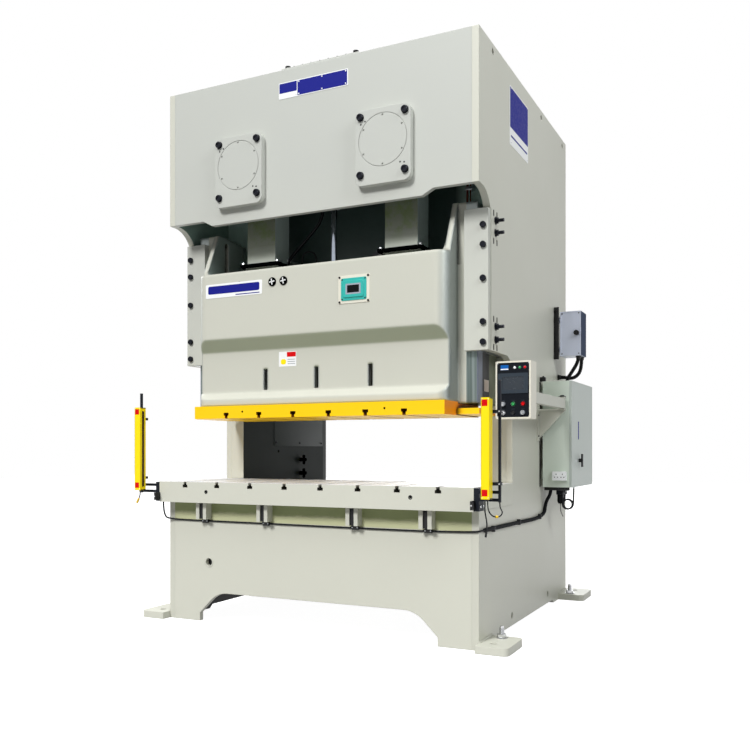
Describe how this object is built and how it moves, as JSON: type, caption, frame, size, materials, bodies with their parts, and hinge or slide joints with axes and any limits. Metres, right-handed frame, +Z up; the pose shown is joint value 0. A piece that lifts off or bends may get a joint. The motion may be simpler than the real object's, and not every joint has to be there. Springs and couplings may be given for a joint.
{
  "type": "mechanical stamping press",
  "caption": "Two-point stamping press with an open front frame: a crank-driven slide over a T-slotted bolster, with light curtains, control pendant and electric cabinet.",
  "frame": {"origin": "on the floor, at the centre of the four anchor holes", "axes": "+Z up, -Y towards the operator, +X to the operator's right, where the cabinet and the pendant are"},
  "size_m": [3.111, 2.889, 4.198],
  "materials": {
    "machine_paint": "warm light grey enamel, satin",
    "cover_yellow": "yellow enamel, satin",
    "machined_steel": "ground and milled steel",
    "gear_steel": "oiled gear steel",
    "cast_iron": "dark cast iron",
    "bolt_black": "blackened bolts and brackets",
    "bronze": "bearing bronze",
    "dark_rubber": "black rubber",
    "curtain_yellow": "yellow enamel on aluminium",
    "post_black": "black coated steel",
    "cabinet_paint": "light grey enamel",
    "panel_steel": "zinc plated plate with devices",
    "box_paint": "pale blue grey enamel",
    "pendant_cream": "cream enamel housing, black face",
    "control_black": "black",
    "lamp_green": "green",
    "lamp_red": "red",
    "counter_teal": "teal",
    "motor_grey": "blue grey enamel",
    "hose_black": "black hose and cable",
    "conduit_grey": "dark grey conduit",
    "plug_yellow": "yellow plug"
  },
  "bodies": {
    "frame": {"side_plate_left": "machine_paint", "side_plate_right": "machine_paint", "throat_columns": "machine_paint", "bed_front_plate": "machine_paint", "bed_rear_plate": "machine_paint", "bed_table": "machine_paint", "crown_front_plate": "machine_paint", "crown_web_plate": "machine_paint", "crown_rear_plate": "machine_paint", "crown_top_plate": "machine_paint", "foot_plates": "machine_paint", "levelling_jacks": "machined_steel", "bolster_plate": "machined_steel", "gib_plates": "machine_paint", "guide_rails": "machined_steel", "crank_covers": "machine_paint", "frame_bolts": "bolt_black", "top_hatch": "machine_paint", "shaft_bearings": "bronze", "drive_motor": "motor_grey", "motor_shelf": "machine_paint", "drive_belts": "dark_rubber", "balance_cylinder": "machine_paint", "cabinet_panel": "panel_steel", "cabinet_shell": "cabinet_paint", "switch_box": "box_paint", "pendant_bracket": "machine_paint", "light_curtains": "curtain_yellow", "curtain_posts": "post_black", "lead_left": "hose_black", "lead_tail": "hose_black", "lead_loop": "hose_black", "bed_cables": "hose_black", "conduits": "conduit_grey", "lead_plugs": "plug_yellow", "air_unit": "post_black"},
    "slide": {"slide_body": "machine_paint", "slide_face_plate": "cover_yellow", "counter_unit": "counter_teal", "balance_rod": "machined_steel"},
    "crank_left": {"crankshaft_left": "gear_steel", "main_gear_left": "gear_steel"},
    "crank_right": {"crankshaft_right": "gear_steel", "main_gear_right": "gear_steel"},
    "rod_left": {"connecting_rod_left": "machined_steel"},
    "rod_right": {"connecting_rod_right": "machined_steel"},
    "shaft": {"drive_shaft": "gear_steel"},
    "flywheel": {"flywheel": "cast_iron"},
    "motor_pulley": {"motor_pulley": "cast_iron"},
    "pendant": {"pendant_box": "pendant_cream", "pendant_arm": "machine_paint"},
    "speed_knob": {"speed_knob": "panel_steel"},
    "start_button": {"start_button": "lamp_green"},
    "stop_button": {"stop_button": "lamp_red"},
    "key_switch": {"key_switch": "machined_steel"},
    "inch_button": {"inch_button": "control_black"},
    "mode_knob": {"mode_knob": "panel_steel"},
    "switch_knob": {"switch_knob": "control_black"},
    "cabinet_door": {"cabinet_door": "cabinet_paint"},
    "cabinet_handle": {"cabinet_handle": "control_black"}
  },
  "joints": [
    {"name": "slide_stroke", "type": "slide", "parent": "frame", "child": "slide", "axis": [0, 0, 1], "range_m": [-0.2, 0]},
    {"name": "crank_left_turn", "type": "hinge", "parent": "frame", "child": "crank_left", "pos_m": [-0.607, -1, 3.494], "axis": [0, 1, 0], "range_deg": [0, 180]},
    {"name": "crank_right_turn", "type": "hinge", "parent": "frame", "child": "crank_right", "pos_m": [0.607, -1, 3.494], "axis": [0, 1, 0], "range_deg": [-180, 0]},
    {"name": "rod_left_pin", "type": "hinge", "parent": "crank_left", "child": "rod_left", "pos_m": [-0.607, -0.85, 3.594], "axis": [0, 1, 0], "range_deg": [-180, 0]},
    {"name": "rod_right_pin", "type": "hinge", "parent": "crank_right", "child": "rod_right", "pos_m": [0.607, -0.85, 3.594], "axis": [0, 1, 0], "range_deg": [0, 180]},
    {"name": "shaft_turn", "type": "hinge", "parent": "frame", "child": "shaft", "pos_m": [0.22887, 0.4, 2.83906], "axis": [0, 1, 0], "range_deg": [0, 735]},
    {"name": "flywheel_spin", "type": "hinge", "parent": "frame", "child": "flywheel", "pos_m": [0.22887, 1.338, 2.83906], "axis": [0, 1, 0], "continuous": true},
    {"name": "motor_spin", "type": "hinge", "parent": "frame", "child": "motor_pulley", "pos_m": [-0.56, 1.338, 3.3], "axis": [0, 1, 0], "continuous": true},
    {"name": "pendant_swing", "type": "hinge", "parent": "frame", "child": "pendant", "pos_m": [1.498, 0.243, 1.711], "axis": [0, 0, 1], "range_deg": [0, 90]},
    {"name": "speed_knob_turn", "type": "hinge", "parent": "pendant", "child": "speed_knob", "pos_m": [1.365, -0.91, 1.652], "axis": [0, 1, 0], "range_deg": [-150, 150]},
    {"name": "start_press", "type": "slide", "parent": "pendant", "child": "start_button", "axis": [0, 1, 0], "range_m": [0, 0.005], "stiffness_N_per_m": 400},
    {"name": "stop_press", "type": "slide", "parent": "pendant", "child": "stop_button", "axis": [0, 1, 0], "range_m": [0, 0.005], "stiffness_N_per_m": 400},
    {"name": "key_turn", "type": "hinge", "parent": "pendant", "child": "key_switch", "pos_m": [1.365, -0.91, 1.592], "axis": [0, 1, 0], "range_deg": [0, 90]},
    {"name": "inch_press", "type": "slide", "parent": "pendant", "child": "inch_button", "axis": [0, 1, 0], "range_m": [0, 0.005], "stiffness_N_per_m": 400},
    {"name": "mode_turn", "type": "hinge", "parent": "pendant", "child": "mode_knob", "pos_m": [1.505, -0.91, 1.592], "axis": [0, 1, 0], "range_deg": [0, 90]},
    {"name": "switch_knob_turn", "type": "hinge", "parent": "frame", "child": "switch_knob", "pos_m": [1.4975, 0.76, 2.352], "axis": [0, 1, 0], "range_deg": [0, 90]},
    {"name": "cabinet_door_swing", "type": "hinge", "parent": "frame", "child": "cabinet_door", "pos_m": [1.5405, 1.117, 1.466], "axis": [0, 0, 1], "range_deg": [0, 110]},
    {"name": "cabinet_handle_turn", "type": "hinge", "parent": "cabinet_door", "child": "cabinet_handle", "pos_m": [1.55, 0.581, 1.248], "axis": [1, 0, 0], "range_deg": [0, 90]}
  ],
  "couplings": [
    {"joint": "crank_left_turn", "follows": "slide_stroke", "rad_per_m": -15.708},
    {"joint": "crank_right_turn", "follows": "slide_stroke", "rad_per_m": 15.708},
    {"joint": "rod_left_pin", "follows": "slide_stroke", "rad_per_m": 15.708},
    {"joint": "rod_right_pin", "follows": "slide_stroke", "rad_per_m": -15.708},
    {"joint": "shaft_turn", "follows": "slide_stroke", "rad_per_m": -63.879},
    {"joint": "motor_spin", "follows": "flywheel_spin", "ratio": 5}
  ]
}
